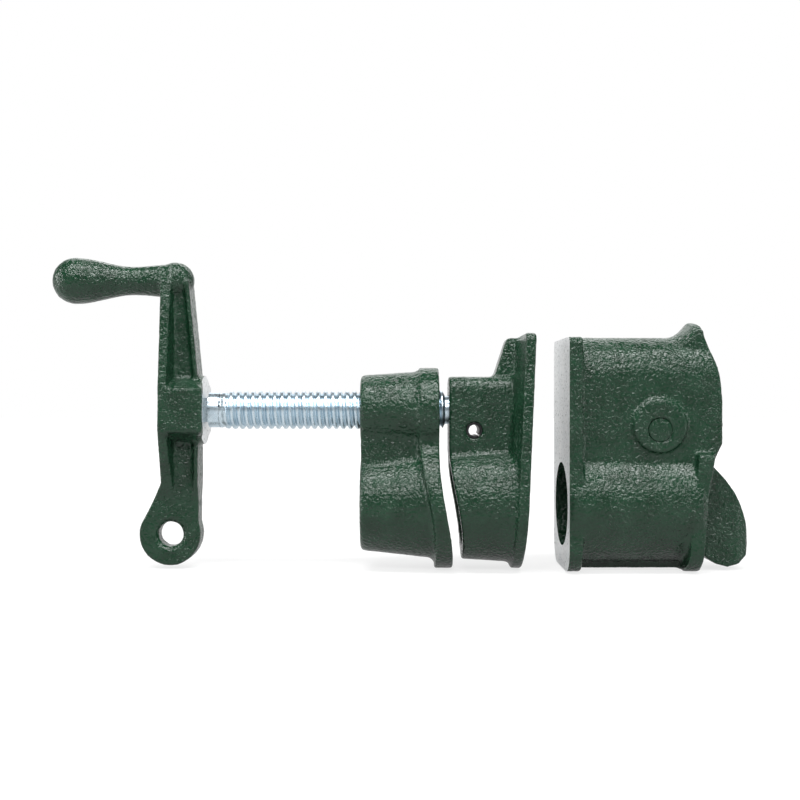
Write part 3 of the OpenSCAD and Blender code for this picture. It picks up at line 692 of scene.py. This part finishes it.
# distance from the object where the floor's glow starts and stops rising, and its levels there
FLOOR_GLOW = (0.15, 0.6, 0.76, 1.0)
GLOSS_GLOW = 0.55               # share of the glow that shows in gloss
SHADOW_WHITE = 0.25             # part of the floor's white that takes the shadow
STRAY_GREY = 0.42               # floor colour for the light that it throws back

# direction where a level of the studio starts and stops changing, and its levels there
STRAY_LEVEL = (-0.5, 0.7, 0.15, 0.70)       # along Y, for stray light
NEAR_LEVEL = (0.0, 0.35, 0.24, 0.06)        # along Z, in gloss on the near side
FAR_SHARE = (0.5, 0.97, 0.0, 1.0)           # along Y, how much gloss shows of the white far side

# name, place, aim, size and power
LAMPS = [
    ("softbox_above", (0.0, -0.25, 0.78), (0, 0, 0.02), (1.0, 0.18), 8.0),
    ("softbox_front", (-0.10, -0.71, 0.56), (0, 0, 0.02), (1.0, 0.11), 4.4),
    ("softbox_back", (0.05, 0.62, 0.50), (0, 0, 0.02), (1.0, 0.25), 1.3),
    ("strip_right", (0.70, -0.30, 0.20), (0.05, 0, 0.02), (0.12, 0.5), 1.2),
    ("strip_left", (-0.70, -0.05, 0.20), (-0.05, 0, 0.02), (0.12, 0.5), 2.0),
]

CAMERA_AT = (-0.0128, -0.3724, 0.0345)
CAMERA_LENS = 50.2


def stage_material():
    """White where it is seen, with a faint shadow, and plain grey for the light it throws back."""
    material = bpy.data.materials.new("stage_white")
    material.use_nodes = True
    t = Tree(material.node_tree)
    t.nodes.clear()
    place = t.add("ShaderNodeTexCoord").outputs["Object"]
    reach = t.add("ShaderNodeVectorMath", {0: place}, operation="LENGTH").outputs["Value"]
    level = t.map_range(reach, *FLOOR_GLOW)
    dim = t.map_range(t.camera_ray(), 0.0, 1.0, GLOSS_GLOW, 1.0)
    glow = t.add("ShaderNodeEmission", {"Strength": t.math("MULTIPLY", level, dim)})
    white = t.add("ShaderNodeBsdfDiffuse", {"Color": rgba(SHADOW_WHITE)})
    grey = t.add("ShaderNodeBsdfDiffuse", {"Color": rgba(STRAY_GREY)})
    seen = t.add("ShaderNodeAddShader", {0: white.outputs[0], 1: glow.outputs[0]})
    shader = t.add("ShaderNodeMixShader", {0: t.seen_ray(), 1: grey.outputs[0],
                                           2: seen.outputs[0]})
    t.add("ShaderNodeOutputMaterial", {"Surface": shader.outputs[0]})
    return material


def make_stage():
    z = BASE_Z * MM - FLOOR_GAP
    mesh = bpy.data.meshes.new("floor")
    mesh.from_pydata([(x * FLOOR_HALF, y * FLOOR_HALF, z)
                      for x, y in ((-1, -1), (1, -1), (1, 1), (-1, 1))], [], [(0, 1, 2, 3)])
    mesh.materials.append(stage_material())
    floor = new_object("floor", mesh)


def make_world():
    """White to the camera, and to gloss on the far side. The near side is a dim studio."""
    world = bpy.data.worlds.new("studio")
    scene.world = world
    world.use_nodes = True
    t = Tree(world.node_tree)
    direction = t.add("ShaderNodeTexCoord").outputs["Generated"]
    along = t.add("ShaderNodeSeparateXYZ", {0: direction}).outputs
    stray = t.map_range(along["Y"], *STRAY_LEVEL)
    near_side = t.map_range(along["Z"], *NEAR_LEVEL)
    gloss = t.choose(t.map_range(along["Y"], *FAR_SHARE), near_side, 1.0)
    strength = t.choose(t.camera_ray(), t.choose(t.seen_ray(), stray, gloss), 1.0)
    back = t.nodes["Background"]
    t.put(back.inputs["Color"], rgba(1.0))
    t.put(back.inputs["Strength"], strength)


def area_light(name, at, aim, size, power):
    data = bpy.data.lights.new(name, "AREA")
    data.shape = "RECTANGLE"
    data.size, data.size_y = size
    data.energy = power
    ob = new_object(name, data)
    ob.location = at
    ob.rotation_euler = (Vector(aim) - Vector(at)).to_track_quat("-Z", "Y").to_euler()


def make_camera():
    data = bpy.data.cameras.new("camera")
    data.sensor_width = 36
    data.lens = CAMERA_LENS
    data.clip_start = 0.01
    ob = new_object("camera", data)
    ob.location = CAMERA_AT
    ob.rotation_euler = (math.radians(90), 0, 0)
    scene.camera = ob


make_stage()
make_world()
for lamp in LAMPS:
    area_light(*lamp)
make_camera()
scene.view_settings.view_transform = "Standard"
